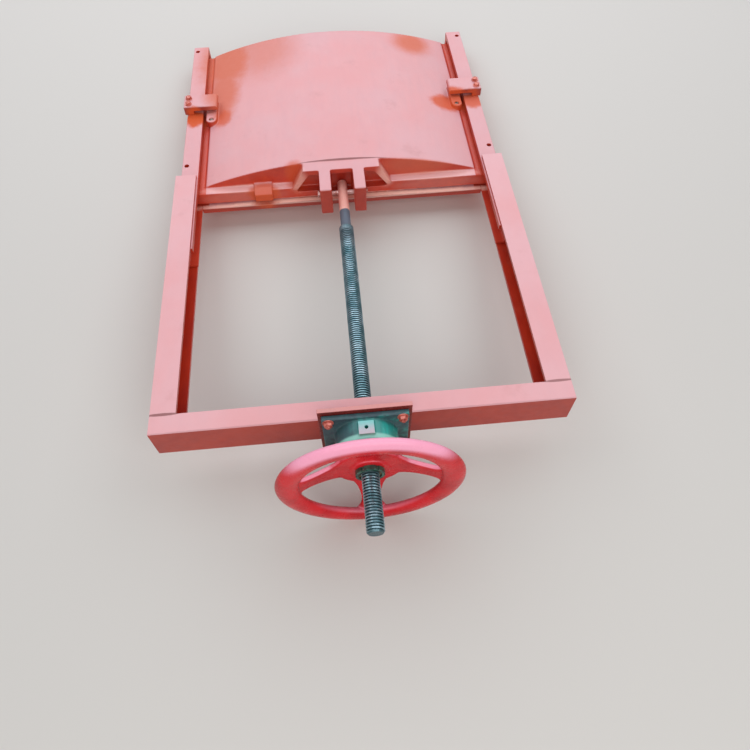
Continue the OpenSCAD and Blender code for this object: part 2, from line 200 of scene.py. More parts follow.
# Painted shade: where the dust and painted sheen are left out, in the rails' grooves and in the
# pockets beside the ears
def shadedHollowShare(tree, where, look):
    blur = look["limitBlur"]
    low, high = look["pocketZ"]
    parts = addNode(tree, "ShaderNodeSeparateXYZ", {0: where})
    side = maths(tree, "ABSOLUTE", parts.outputs[0])
    inGroove = maths(tree, "MULTIPLY",
                     ramp(tree, side, look["grooveX"] - blur, look["grooveX"]),
                     ramp(tree, parts.outputs[1], look["grooveY"] - blur, look["grooveY"]))
    pocket = maths(tree, "MULTIPLY",
                   ramp(tree, side, look["pocketX"] + blur, look["pocketX"]),
                   ramp(tree, parts.outputs[1], look["pocketY"], look["pocketY"] + 2 * blur))
    above = ramp(tree, parts.outputs[2], low - blur, low)
    under = ramp(tree, parts.outputs[2], high + blur, high)
    pocket = maths(tree, "MULTIPLY", pocket, maths(tree, "MULTIPLY", above, under))
    return maths(tree, "MAXIMUM", inGroove, pocket)


# Red oxide paint: glossy where it is sound, matt and orange where it was touched up. Faces that lie
# upward get a pale bloom, partly dust and partly painted sheen, which is left out of shaded
# hollows. Painted shade darkens some joints and undersides, and painted highlights lighten the
# ledges.
def makeIronPaint(name, look, grain):
    fixed = {"Specular IOR Level": 0.32, "Coat Roughness": 0.20, "Coat IOR": 1.5}
    material, tree, shader, coord = newMaterial(name, fixed)
    where = coord.outputs["Object"]
    broad = clouds(tree, where, 6, 4)
    fine = clouds(tree, where, 70, 3)
    brushed = clouds(tree, stretched(tree, where, (60, 60, 14)), 1.0, 3)
    mottle = maths(tree, "ADD", maths(tree, "MULTIPLY", broad, 0.7),
                   maths(tree, "MULTIPLY", brushed, 0.3))
    colour = mixColour(tree, ramp(tree, mottle, 0.38, 0.66), screenColour(*look["paint"]),
                       screenColour(*look["thinPaint"]))
    # Painted shade in the grooves and pockets
    shadedHollow = shadedHollowShare(tree, where, look)
    facing = maths(tree, "MULTIPLY", ramp(tree, frontness(tree, coord), 0.30, 1.0),
                   maths(tree, "SUBTRACT", 1.0, shadedHollow))
    dustAndSheenVariation = maths(tree, "ADD", ramp(tree, broad, 0.30, 0.70, 0.16), 0.92)
    # Painted sheen, partly dust, on faces that lie upward
    dustAndSheen = maths(tree, "MULTIPLY", maths(tree, "MULTIPLY", facing, dustAndSheenVariation), look["dustAndSheenShare"])
    colour = mixColour(tree, dustAndSheen, colour, screenColour(*look["dustAndSheen"]))
    smudge = ramp(tree, clouds(tree, where, 11, 5, 0.65), 0.58, 0.76, look["scuffShare"])
    colour = mixColour(tree, smudge, colour, screenColour(*look["scuff"]))
    # Painted highlights on the ledges
    worn = spotShare(tree, where, look["ledgeHighlights"], 0.5)
    colour = mixColour(tree, worn, colour, screenColour(*look["ledgeHighlight"]))
    # Dark seams, and painted shade
    seamShadeShare = spotShare(tree, where, look["seams"], 0.6)
    colour = mixColour(tree, seamShadeShare, colour, screenColour(*look["seamShade"]))
    touched = spotShare(tree, where, look["touchUps"], 0.5)
    colour = mixColour(tree, touched, colour, screenColour(*look["touchUp"]))
    patched = spotShare(tree, where, look["patches"], 0.8)
    colour = mixColour(tree, patched, colour, screenColour(*look["patchPaint"]))
    tree.links.new(colour, shader.inputs["Base Color"])
    touched = maths(tree, "MAXIMUM", touched, patched)
    uneven = ramp(tree, fine, 0.3, 0.7, 0.10)
    gloss = maths(tree, "ADD", maths(tree, "MULTIPLY", touched, 0.35), uneven)
    gloss = maths(tree, "ADD", gloss, maths(tree, "MULTIPLY", smudge, 0.4))
    gloss = maths(tree, "ADD", gloss, look["roughness"] - 0.05)
    tree.links.new(gloss, shader.inputs["Roughness"])
    sound = maths(tree, "SUBTRACT", 1.0, maths(tree, "MULTIPLY", touched, 0.7))
    tree.links.new(maths(tree, "MULTIPLY", sound, look["coat"]), shader.inputs["Coat Weight"])
    pits = clouds(tree, where, 260, 3, 0.6)
    waves = maths(tree, "MULTIPLY", clouds(tree, where, 34, 2), 2.0)
    height = maths(tree, "ADD", maths(tree, "ADD", pits, waves), brushed)
    useBump(tree, shader, height, grain, 0.0012)
    return material


wheelLook = {
    "paint": (208, 27, 37),
    "darkPaint": (176, 16, 27),
    "orange": (204, 52, 32),
    "dust": (224, 150, 150),
    "dustShare": 0.06,
    "dustAndSheen": (255, 174, 202),
    "dustAndSheenShare": 0.26,
    "rimSheenShare": 0.94,
    "rimSheenY": (-0.113, -0.158),
    "spokeShare": 0.58,
    "spokeX": (0.056, 0.122),
    "spokeY": (-0.084, -0.010),
    "grimeAndShade": (70, 36, 30),
    "upperDarkShare": 0.0,
    "roughness": 0.25,
}


# Painted highlight: a pale shine along the front sides of the two side spokes
def spokeShine(tree, parts, facing, look):
    side = maths(tree, "ABSOLUTE", parts.outputs[0])
    deep = parts.outputs[1]
    (start, end), (front, back) = look["spokeX"], look["spokeY"]
    along = maths(tree, "MULTIPLY", ramp(tree, side, start, start + 0.014),
                  ramp(tree, side, end, end - 0.010))
    across = maths(tree, "MULTIPLY", ramp(tree, deep, front, front + 0.010),
                   ramp(tree, deep, back, back - 0.014))
    onSpoke = maths(tree, "MULTIPLY", along, across)
    return maths(tree, "MULTIPLY", onSpoke, ramp(tree, facing, 0.25, 0.75, look["spokeShare"]))


# Red gloss paint with random dust. Faces that lie upward get a pale pink painted sheen, strongest
# as a painted highlight on the rim's front side and along the side spokes. A piece can be darker on
# its upper faces.
def makeWheelPaint(name, look):
    fixed = {"Specular IOR Level": 0.22, "Coat Weight": 0.12, "Coat Roughness": 0.12,
             "Coat IOR": 1.5}
    material, tree, shader, coord = newMaterial(name, fixed)
    where = coord.outputs["Object"]
    broad = clouds(tree, where, 14, 4)
    colour = mixColour(tree, ramp(tree, broad, 0.40, 0.68), screenColour(*look["paint"]),
                       screenColour(*look["darkPaint"]))
    rubbed = ramp(tree, clouds(tree, where, 22, 5, 0.7), 0.60, 0.74, 0.45)
    colour = mixColour(tree, rubbed, colour, screenColour(*look["orange"]))
    facing = frontness(tree, coord)
    parts = addNode(tree, "ShaderNodeSeparateXYZ", {0: where})
    # Painted highlight on the rim's front side
    rimSheen = maths(tree, "MULTIPLY", ramp(tree, parts.outputs[1], *look["rimSheenY"]),
                  ramp(tree, facing, -0.04, 0.26, look["rimSheenShare"]))
    # Pale painted sheen on faces that lie upward
    dustAndSheen = ramp(tree, facing, 0.40, 0.92, look["dustAndSheenShare"])
    dustAndSheen = maths(tree, "MAXIMUM", maths(tree, "MAXIMUM", dustAndSheen, rimSheen),
                  spokeShine(tree, parts, facing, look))
    colour = mixColour(tree, dustAndSheen, colour, screenColour(*look["dustAndSheen"]))
    if look["upperDarkShare"]:
        # Darker on the upper faces
        normal = addNode(tree, "ShaderNodeSeparateXYZ", {0: coord.outputs["Normal"]})
        upperDark = ramp(tree, normal.outputs[2], 0.6, 0.9, look["upperDarkShare"])
        colour = mixColour(tree, upperDark, colour, screenColour(*look["grimeAndShade"]))
    dusty = ramp(tree, clouds(tree, where, 48, 5, 0.7), 0.55, 0.80, look["dustShare"])
    colour = mixColour(tree, dusty, colour, screenColour(*look["dust"]))
    tree.links.new(colour, shader.inputs["Base Color"])
    gloss = maths(tree, "ADD", ramp(tree, clouds(tree, where, 60, 3), 0.3, 0.7, 0.16),
                  look["roughness"] - 0.06)
    gloss = maths(tree, "ADD", gloss, maths(tree, "MULTIPLY", dusty, 1.2))
    tree.links.new(gloss, shader.inputs["Roughness"])
    runs = clouds(tree, where, 40, 2)
    height = maths(tree, "ADD", clouds(tree, where, 240, 3), maths(tree, "MULTIPLY", runs, 2.0))
    useBump(tree, shader, height, 0.16, 0.0012)
    return material


housingLook = {
    "paint": (28, 184, 170),
    "darkPaint": (10, 138, 130),
    "worn": (130, 222, 208),
    "dustAndSheen": (130, 220, 212),
    "dustAndSheenShare": 0.15,
    "grimeAndShade": (62, 54, 76),
    "shadedSideX": (0.000, 0.032),
    "darkFootTop": 1.206,
    "shoulderHighlight": (160, 230, 214),
    "shoulderHighlightZ": (1.2150, 1.2200),
    "padTopReflection": (132, 214, 210),
    "padFootReflection": (210, 196, 208),
    "padFront": (0.0980, 0.0996),
    "padZ": (1.196, 1.218),
    "roughness": 0.26,
}


# Green gloss paint with random pale wear. It is darker towards the foot, with painted shade on one
# side, a painted highlight on the shoulder, a painted reflection on the front of the oil pad and a
# painted sheen on faces that lie upward
def makeHousingPaint(name, look):
    fixed = {"Specular IOR Level": 0.4, "Coat Weight": 0.25, "Coat Roughness": 0.10,
             "Coat IOR": 1.5}
    material, tree, shader, coord = newMaterial(name, fixed)
    where = coord.outputs["Object"]
    runs = clouds(tree, stretched(tree, where, (60, 60, 8)), 1.0, 4)
    colour = mixColour(tree, ramp(tree, runs, 0.38, 0.66), screenColour(*look["paint"]),
                       screenColour(*look["darkPaint"]))
    worn = ramp(tree, clouds(tree, where, 75, 5, 0.7), 0.60, 0.72, 0.55)
    colour = mixColour(tree, worn, colour, screenColour(*look["worn"]))
    parts = addNode(tree, "ShaderNodeSeparateXYZ", {0: where})
    height = parts.outputs[2]
    spatter = maths(tree, "MULTIPLY", clouds(tree, where, 55, 4), 0.03)
    low = maths(tree, "SUBTRACT", height, spatter)
    # Darker towards the foot
    grimeAndShade = ramp(tree, low, look["darkFootTop"] - 0.022, look["darkFootTop"] - 0.034, 0.80)
    across = maths(tree, "ADD", parts.outputs[0],
                   maths(tree, "MULTIPLY", clouds(tree, where, 50, 5), 0.03))
    # Painted shade on one side
    side = ramp(tree, across, look["shadedSideX"][0] + 0.015, look["shadedSideX"][1] + 0.015, 0.80)
    grimeAndShade = maths(tree, "MAXIMUM", grimeAndShade, side)
    facing = frontness(tree, coord)
    # Painted sheen on faces that lie upward
    dustAndSheen = ramp(tree, facing, 0.45, 0.98, look["dustAndSheenShare"])
    colour = mixColour(tree, dustAndSheen, colour, screenColour(*look["dustAndSheen"]))
    colour = mixColour(tree, grimeAndShade, colour, screenColour(*look["grimeAndShade"]))
    # Painted highlight on the shoulder
    shoulderHighlight = ramp(tree, maths(tree, "ADD", height, maths(tree, "MULTIPLY", worn, 0.004)),
                    *look["shoulderHighlightZ"], 0.80)
    colour = mixColour(tree, shoulderHighlight, colour, screenColour(*look["shoulderHighlight"]))
    # Painted reflection on the front of the oil pad: pale at its top, pinkish at its foot
    onPad = maths(tree, "MULTIPLY", ramp(tree, height, look["padZ"][0] - 0.004, look["padZ"][0]),
                  ramp(tree, maths(tree, "MULTIPLY", parts.outputs[1], -1.0),
                       *look["padFront"]))
    onPad = maths(tree, "MULTIPLY", onPad, ramp(tree, facing, 0.5, 0.9))
    pad = mixColour(tree, ramp(tree, height, *look["padZ"]), screenColour(*look["padTopReflection"]),
                    screenColour(*look["padFootReflection"]))
    colour = mixColour(tree, maths(tree, "MULTIPLY", onPad, 0.9), colour, pad)
    tree.links.new(colour, shader.inputs["Base Color"])
    gloss = maths(tree, "ADD", maths(tree, "MULTIPLY", grimeAndShade, 0.4),
                  ramp(tree, runs, 0.3, 0.7, 0.12))
    tree.links.new(maths(tree, "ADD", gloss, look["roughness"]), shader.inputs["Roughness"])
    sag = maths(tree, "ADD", maths(tree, "MULTIPLY", runs, 2.0), clouds(tree, where, 200, 3))
    useBump(tree, shader, sag, 0.22, 0.0014)
    return material


stemLook = {
    "crest": (162, 190, 202),
    "root": (76, 104, 112),
    "plain": (98, 108, 122),
    "plainTop": 0.692,
    "dull": (84, 90, 98),
    "dullTop": 0.756,
    "greaseTint": (86, 128, 138),
    "overspray": (250, 186, 172),
    "oversprayTop": 0.642,
    "rootRadius": 0.0130,
    "crestRadius": 0.0154,
    "axisY": -0.042,
    "roughness": 0.30,
}


# Greased steel: darker between the threads and lighter on the crests, dull near the shank, and with
# paint on the shank's foot
def makeStemSteel(name, look):
    material, tree, shader, coord = newMaterial(name, {"Specular IOR Level": 0.6})
    where = coord.outputs["Object"]
    parts = addNode(tree, "ShaderNodeSeparateXYZ", {0: where})
    across = maths(tree, "SUBTRACT", parts.outputs[1], look["axisY"])
    flat = addNode(tree, "ShaderNodeCombineXYZ", {0: parts.outputs[0], 1: across})
    radius = addNode(tree, "ShaderNodeVectorMath", {0: flat.outputs[0]},
                     operation="LENGTH").outputs["Value"]
    crest = ramp(tree, radius, look["rootRadius"] + 0.0006, look["crestRadius"])
    greasy = clouds(tree, where, 40, 5, 0.65)
    metal = mixColour(tree, ramp(tree, greasy, 0.35, 0.65), screenColour(*look["crest"]),
                      screenColour(*look["greaseTint"]))
    colour = mixColour(tree, crest, screenColour(*look["root"]), metal)
    high = parts.outputs[2]
    dull = ramp(tree, high, look["dullTop"], look["dullTop"] - 0.030, 0.6)
    colour = mixColour(tree, dull, colour, screenColour(*look["dull"]))
    plain = ramp(tree, high, look["plainTop"] + 0.003, look["plainTop"] - 0.002)
    colour = mixColour(tree, plain, colour, screenColour(*look["plain"]))
    ragged = maths(tree, "MULTIPLY", clouds(tree, where, 120, 3), 0.005)
    painted = ramp(tree, maths(tree, "ADD", high, ragged), look["oversprayTop"] + 0.006,
                   look["oversprayTop"] + 0.002)
    colour = mixColour(tree, painted, colour, screenColour(*look["overspray"]))
    tree.links.new(colour, shader.inputs["Base Color"])
    bare = maths(tree, "SUBTRACT", 1.0, maths(tree, "MAXIMUM", painted,
                                              maths(tree, "MULTIPLY", plain, 0.6)))
    tree.links.new(maths(tree, "MULTIPLY", bare, 0.75), shader.inputs["Metallic"])
    gloss = maths(tree, "ADD", ramp(tree, greasy, 0.3, 0.7, 0.22), look["roughness"] - 0.08)
    gloss = maths(tree, "ADD", gloss, maths(tree, "MULTIPLY", plain, 0.20))
    gloss = maths(tree, "ADD", gloss, maths(tree, "MULTIPLY", dull, 0.30))
    tree.links.new(gloss, shader.inputs["Roughness"])
    blobs = maths(tree, "ADD", clouds(tree, where, 180, 3), maths(tree, "MULTIPLY", greasy, 1.5))
    useBump(tree, shader, blobs, 0.20, 0.0010)
    return material


metalLooks = {
    "ringPaint": {"main": (46, 96, 80), "second": (30, 46, 42), "rub": (104, 128, 116),
                  "metallic": 0.0, "roughness": 0.34, "scale": 60},
    "nutBronze": {"main": (92, 80, 52), "second": (40, 44, 36), "rub": (168, 140, 88),
                  "metallic": 0.8, "roughness": 0.34, "scale": 50},
    "boltSteel": {"main": (214, 120, 104), "second": (176, 72, 58), "rub": (226, 200, 190),
                  "metallic": 0.1, "roughness": 0.34, "scale": 150},
    "pinSteel": {"main": (214, 176, 172), "second": (160, 80, 66), "rub": (236, 214, 208),
                 "metallic": 0.25, "roughness": 0.34, "scale": 90},
    "setScrewSteel": {"main": (176, 158, 152), "second": (96, 66, 58), "rub": (214, 204, 196),
                      "metallic": 0.7, "roughness": 0.40, "scale": 160},
}


def makeSmallMetal(name, look):
    fixed = {"Metallic": look["metallic"], "Specular IOR Level": 0.6}
    material, tree, shader, coord = newMaterial(name, fixed)
    where = coord.outputs["Object"]
    body = clouds(tree, where, look["scale"], 4, 0.6)
    colour = mixColour(tree, ramp(tree, body, 0.40, 0.62), screenColour(*look["main"]),
                       screenColour(*look["second"]))
    rub = ramp(tree, clouds(tree, where, look["scale"] * 2.3, 4, 0.7), 0.58, 0.72, 0.8)
    colour = mixColour(tree, rub, colour, screenColour(*look["rub"]))
    tree.links.new(colour, shader.inputs["Base Color"])
    gloss = maths(tree, "ADD", ramp(tree, body, 0.3, 0.7, 0.2), look["roughness"] - 0.08)
    tree.links.new(gloss, shader.inputs["Roughness"])
    useBump(tree, shader, clouds(tree, where, 320, 3), 0.15, 0.0008)
    return material


framePaint = makeIronPaint("framePaint", {**ironLook, "paint": (192, 54, 28),
                                          "thinPaint": (170, 42, 28),
                                          "dustAndSheen": (234, 188, 194),
                                          "dustAndSheenShare": 0.70}, 0.10)
castPaint = makeIronPaint("castPaint", ironLook, 0.20)
wheelPaint = makeWheelPaint("wheelPaint", wheelLook)
# Base plate: a pale painted sheen on its front edge, and darker upper faces
platePaint = makeWheelPaint("platePaint", {**wheelLook, "paint": (206, 62, 56),
                                           "darkPaint": (176, 44, 42),
                                           "dustAndSheen": (226, 180, 176), "dustAndSheenShare": 0.62,
                                           "upperDarkShare": 0.72})
housingPaint = makeHousingPaint("housingPaint", housingLook)
stemSteel = makeStemSteel("stemSteel", stemLook)
smallMetals = {name: makeSmallMetal(name, look) for name, look in metalLooks.items()}
print("materials made")


def placeMesh(mesh, name, body, material, replaced=()):
    mesh.materials.clear()
    mesh.materials.append(material)
    piece = bpy.data.objects.new(name, mesh)
    bpy.context.scene.collection.objects.link(piece)
    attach(piece, body)
    if replaced:
        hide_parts(*replaced)
    return piece


def finishMesh(bm, name, smoothAngle=35):
    bmesh.ops.recalc_face_normals(bm, faces=bm.faces)
    for face in bm.faces:
        face.smooth = True
    for edge in bm.edges:
        if len(edge.link_faces) == 2:
            edge.smooth = edge.calc_face_angle(0) < math.radians(smoothAngle)
    mesh = bpy.data.meshes.new(name)
    bm.to_mesh(mesh)
    bm.free()
    return mesh


edgeLook = {
    "flatWithin": 0.6,
    "sharpFrom": 40,
    "segments": 3,
    "profile": 0.6,
}


# A CAD node's solid with its faces joined and its long edges rounded. Angles in degrees.
def roundedCopy(nodeName, name, material, body, width, shortest=0.003, look=edgeLook):
    bm = bmesh.new()
    bm.from_mesh(cadNodes[nodeName].data)
    bmesh.ops.remove_doubles(bm, verts=bm.verts, dist=1e-6)
    bmesh.ops.dissolve_limit(bm, angle_limit=math.radians(look["flatWithin"]),
                             verts=bm.verts, edges=bm.edges)
    sharpFrom = math.radians(look["sharpFrom"])
    edges = [edge for edge in bm.edges
             if len(edge.link_faces) == 2 and edge.calc_length() > shortest
             and edge.calc_face_angle(0) > sharpFrom]
    bmesh.ops.bevel(bm, geom=edges, offset=width, offset_type="OFFSET",
                    segments=look["segments"], profile=look["profile"], affect="EDGES",
                    clamp_overlap=True)
    bmesh.ops.dissolve_degenerate(bm, dist=1e-5, edges=bm.edges)
    # Faces in the same order on each run
    along = Vector((1.0, 0.618, 0.414))
    bm.faces.sort(key=lambda face: face.calc_center_median().dot(along))
    mesh = finishMesh(bm, name)
    piece = placeMesh(mesh, name, body, material, [nodeName])
    flatter = piece.modifiers.new("flatter", "WEIGHTED_NORMAL")
    flatter.keep_sharp = True
    return piece


# Solids melted into one casting with soft corners, as sand moulds give
def castPiece(bm, name, material, body, replaced, look):
    raw = bpy.data.meshes.new(name + "Raw")
    bm.to_mesh(raw)
    bm.free()
    maker = bpy.data.objects.new(name + "Raw", raw)
    bpy.context.scene.collection.objects.link(maker)
    remesh = maker.modifiers.new("melt", "REMESH")
    remesh.mode = "VOXEL"
    remesh.voxel_size = look["voxel"]
    relax = maker.modifiers.new("relax", "SMOOTH")
    relax.factor = 0.5
    relax.iterations = look["smoothing"]
    thin = maker.modifiers.new("thin", "DECIMATE")
    thin.ratio = look["keep"]
    graph = bpy.context.evaluated_depsgraph_get()
    mesh = bpy.data.meshes.new_from_object(maker.evaluated_get(graph))
    mesh.name = name
    bpy.data.objects.remove(maker)
    bpy.data.meshes.remove(raw)
    mesh.polygons.foreach_set("use_smooth", [True] * len(mesh.polygons))
    print("  ", name, len(mesh.polygons), "faces")
    return placeMesh(mesh, name, body, material, replaced)


def addBox(bm, low, high):
    corners = [bm.verts.new((x, y, z)) for x in (low[0], high[0]) for y in (low[1], high[1])
               for z in (low[2], high[2])]
    for face in ((0, 1, 3, 2), (4, 6, 7, 5), (0, 4, 5, 1), (2, 3, 7, 6), (0, 2, 6, 4),
                 (1, 5, 7, 3)):
        bm.faces.new([corners[i] for i in face])


def addNodeSolid(bm, nodeName):
    bm.from_mesh(cadNodes[nodeName].data)


# A flat outline in x and y, made solid from low to high
def addPrism(bm, outline, low, high):
    bottom = [bm.verts.new((x, y, low)) for x, y in outline]
    top = [bm.verts.new((x, y, high)) for x, y in outline]
    count = len(outline)
    for i in range(count):
        j = (i + 1) % count
        bm.faces.new((bottom[i], bottom[j], top[j], top[i]))
    bm.faces.new(bottom[::-1])
    bm.faces.new(top)


# Quads from each ring of points to the next one
def joinRings(bm, rings):
    for lower, upper in zip(rings, rings[1:]):
        for k in range(len(lower)):
            j = (k + 1) % len(lower)
            bm.faces.new((lower[k], lower[j], upper[j], upper[k]))


def joinAndCap(bm, rings):
    joinRings(bm, rings)
    bm.faces.new(rings[0][::-1])
    bm.faces.new(rings[-1])


# Rings of (radius, height, hexShare) round the local Z axis, closed at both ends
def addSpun(bm, rings, place, sides=24):
    rows = []
    for radius, height, hexShare in rings:
        row = []
        for k in range(sides):
            angle = 2 * math.pi * k / sides
            local = (angle + math.pi / 6) % (math.pi / 3) - math.pi / 6
            flat = math.cos(math.pi / 6) / math.cos(local - math.copysign(math.pi / 6, local))
            reach = radius * (1 - hexShare + hexShare * flat)
            row.append(bm.verts.new(place @ Vector((reach * math.cos(angle),
                                                    reach * math.sin(angle), height))))
        rows.append(row)
    joinAndCap(bm, rows)


# Matrix that puts local +Z along a direction, at a point
def standOn(point, direction, twist=0.0):
    turn = Vector(direction).to_track_quat("Z", "Y").to_matrix().to_4x4()
    return Matrix.Translation(point) @ turn @ Matrix.Rotation(math.radians(twist), 4, "Z")


boltLook = {
    "washerOver": 1.28,
    "washerT": 0.0016,
    "headShare": 0.42,
    "nutTaller": 1.15,
    "chamferShare": 0.08,
    "shankShare": 0.30,
    "threadPitch": 0.0012,
}


# Hex head on a washer; the stub is a stud's end over its nut
def addBolt(bm, point, direction, acrossFlats, twist=0.0, stub=0.0, look=boltLook):
    corner = acrossFlats / 2 / math.cos(math.pi / 6)
    place = standOn(point, direction, twist)
    over = corner * look["washerOver"]
    t = look["washerT"]
    addSpun(bm, [(over, 0, 0), (over, t * 0.75, 0), (over - t * 0.3, t, 0)], place)
    high = acrossFlats * look["headShare"] * (look["nutTaller"] if stub else 1.0)
    cut = acrossFlats * look["chamferShare"]
    addSpun(bm, [(corner, t, 1), (corner, t + high - cut, 1),
                 (corner * 0.93, t + high - cut * 0.3, 0.35), (corner * 0.84, t + high, 0)], place)
    if stub:
        shank = acrossFlats * look["shankShare"]
        rings = [(shank, t + high * 0.9, 0)]
        steps = max(2, round(stub / look["threadPitch"]))
        for k in range(steps):
            low = t + high + stub * k / steps
            rings.append((shank, low + stub * 0.15 / steps, 0))
            rings.append((shank * 0.88, low + stub * 0.55 / steps, 0))
        rings.append((shank * 0.80, t + high + stub, 0))
        addSpun(bm, rings, place)


beadLook = {
    "sides": 8,
    "ripple": 0.0026,
    "rippleDepth": 0.16,
    "uneven": 0.22,
    "unevenScale": 160,
}


# Rippled bead along a straight seam, thinner at both ends
def addWeldBead(bm, start, end, radius, seed, look=beadLook):
    start, end = Vector(start), Vector(end)
    along = end - start
    sides, ripple = look["sides"], look["ripple"]
    count = max(6, round(along.length / (ripple / 3)))
    turn = along.to_track_quat("Z", "Y").to_matrix()
    rows = []
    for i in range(count + 1):
        share = i / count
        travelled = share * along.length
        swell = 1 + look["rippleDepth"] * math.cos(2 * math.pi * travelled / ripple)
        place = Vector((travelled * look["unevenScale"], seed * 7.3, 0))
        swell += look["uneven"] * noise.noise(place)
        swell *= min(1.0, 0.35 + 5 * min(share, 1 - share) * along.length / (radius * 4))
        row = []
        for k in range(sides):
            angle = 2 * math.pi * k / sides
            offset = turn @ Vector((math.cos(angle), math.sin(angle), 0)) * radius * swell
            row.append(bm.verts.new(start + along * share + offset))
        rows.append(row)
    joinAndCap(bm, rows)


# Frame: rails, sill, head beam, wedge bars, channels and base plate
frameLook = {
    "rail_right": ("railRight", "iron_paint", castPaint, 0.0016),
    "rail_left": ("railLeft", "iron_paint", castPaint, 0.0016),
    "bottom_sill": ("bottomSill", "iron_paint", castPaint, 0.0016),
    "head_beam": ("headBeam", "iron_paint", castPaint, 0.0016),
    "wedge_bar_right": ("wedgeBarRight", "iron_paint", castPaint, 0.0020),
    "wedge_bar_left": ("wedgeBarLeft", "iron_paint", castPaint, 0.0020),
    "yoke_side_right": ("yokeSideRight", "iron_paint", framePaint, 0.0014),
    "yoke_side_left": ("yokeSideLeft", "iron_paint", framePaint, 0.0014),
    "yoke_crossbeam": ("yokeCrossbeam", "iron_paint", framePaint, 0.0014),
    "base_plate": ("basePlate", "wheel_paint", platePaint, 0.0010),
}
for nodeName, (name, slotName, material, width) in frameLook.items():
    roundedCopy(nodeName, name, material, "frame", width)
print("frame members rounded")

# Gate: plate, ribs, flanges, rim, hood, ears and bosses are one casting
gateLook = {
    "halfWidth": 0.307,
    "innerHalf": 0.286,
    "low": 0.024,
    "top": 0.540,
    "rimTop": 0.560,
    "flangeFront": -0.046,
    "flangeBack": -0.018,
    "centreY": 0.86749,
    "radius": 0.96749,
    "thickness": 0.012,
    "wall": 0.012,
    "lugHalf": 0.1016,
    "lugPocketBack": -0.034,
    "pocketHalf": 0.024,
    "pocketBack": -0.026,
    "overlap": 0.004,
    "steps": 320,
    "voxel": 0.0017,
    "smoothing": 8,
    "keep": 0.20,
}


def buildGate(look):
    bm = bmesh.new()
    centre, radius = look["centreY"], look["radius"]

    def arc(half, r):
        points = []
        for i in range(look["steps"] + 1):
            x = half * (2 * i / look["steps"] - 1)
            points.append((x, centre - math.sqrt(r * r - x * x)))
        return points

    outer = arc(look["halfWidth"], radius)
    inner = arc(look["innerHalf"], radius - look["thickness"])
    half, inHalf = look["halfWidth"], look["innerHalf"]
    front, back = look["flangeFront"], look["flangeBack"]
    shell = outer + [(half, front), (inHalf, front)] + inner[::-1] + [(-inHalf, front),
                                                                     (-half, front)]
    addPrism(bm, shell, look["low"], look["top"])
    wall = outer + [(half, front), (inHalf, front), (inHalf, back), (-inHalf, back),
                    (-inHalf, front), (-half, front)]
    addPrism(bm, wall, look["low"], look["low"] + look["wall"])
    addPrism(bm, wall, look["top"] - look["wall"], look["top"])
    # The rim is cut back twice: beside the ears, and deeper for the stem's foot
    overlap, lug, pocket = look["overlap"], look["lugHalf"], look["pocketHalf"]
    rim = ((-inHalf - overlap, -lug, front), (lug, inHalf + overlap, front),
           (-lug - overlap, -pocket, look["lugPocketBack"]),
           (pocket, lug + overlap, look["lugPocketBack"]),
           (-pocket - overlap, pocket + overlap, look["pocketBack"]))
    for x0, x1, y0 in rim:
        addBox(bm, (x0, y0, look["top"] - overlap), (x1, back, look["rimTop"]))
    pieces = ["panel_ribs", "panel_flange_right", "panel_flange_left", "lifting_lug",
              "lug_ears", "rim_boss", "wedge_boss_right", "wedge_boss_left"]
    for nodeName in pieces:
        addNodeSolid(bm, nodeName)
    bmesh.ops.recalc_face_normals(bm, faces=bm.faces)
    castPiece(bm, "gateCasting", castPaint, "gate", ["gate_panel", *pieces], look)


buildGate(gateLook)
print("gate casting made")

# Handwheel: oval rim, four flat spokes that widen at both ends, and a hub with a collar
wheelShape = {
    "centre": (0.0, -0.042),
    "rimRadius": 0.139,
    "rimHalfWidth": 0.0198,
    "rimHalfHeight": 0.0098,
    "rimZ": 1.283,
    "rimRoundness": 2.05,
    "hubZ": 1.251,
    "spokeFrom": 0.025,
    "spokeTo": 0.143,
    "climbFrom": 0.046,
    "climbTo": 0.136,
    "spokeHalfWidth": 0.0150,
    "spokeHalfHeight": 0.0056,
    "spokePower": 0.55,
    "hubFlare": {"wide": 0.0160, "upTo": 0.050, "fade": 0.022},
    "rimFlare": {"wide": 0.0100, "from": 0.120, "fade": 0.008},
    "hubRadius": 0.0578,
    "hubFoot": 1.2412,
    "hubTop": 1.2570,
    "collarRadius": 0.0338,
    "collarTop": 1.2608,
    "boreRadius": 0.0202,
    "voxel": 0.0014,
    "smoothing": 6,
    "keep": 0.50,
}


def addRim(bm, look):
    cx, cy = look["centre"]
    around, across = 256, 40
    power = 2 / look["rimRoundness"]
    rows = []
    for i in range(around):
        angle = 2 * math.pi * i / around
        row = []
        for k in range(across):
            turn = 2 * math.pi * k / across
            c, s = math.cos(turn), math.sin(turn)
            out = look["rimRadius"] + look["rimHalfWidth"] * math.copysign(abs(c) ** power, c)
            up = look["rimZ"] + look["rimHalfHeight"] * math.copysign(abs(s) ** power, s)
            row.append(bm.verts.new((cx + out * math.cos(angle), cy + out * math.sin(angle), up)))
        rows.append(row)
    for i in range(around):
        for k in range(across):
            a, b = rows[i], rows[(i + 1) % around]
            j = (k + 1) % across
            bm.faces.new((a[k], b[k], b[j], a[j]))


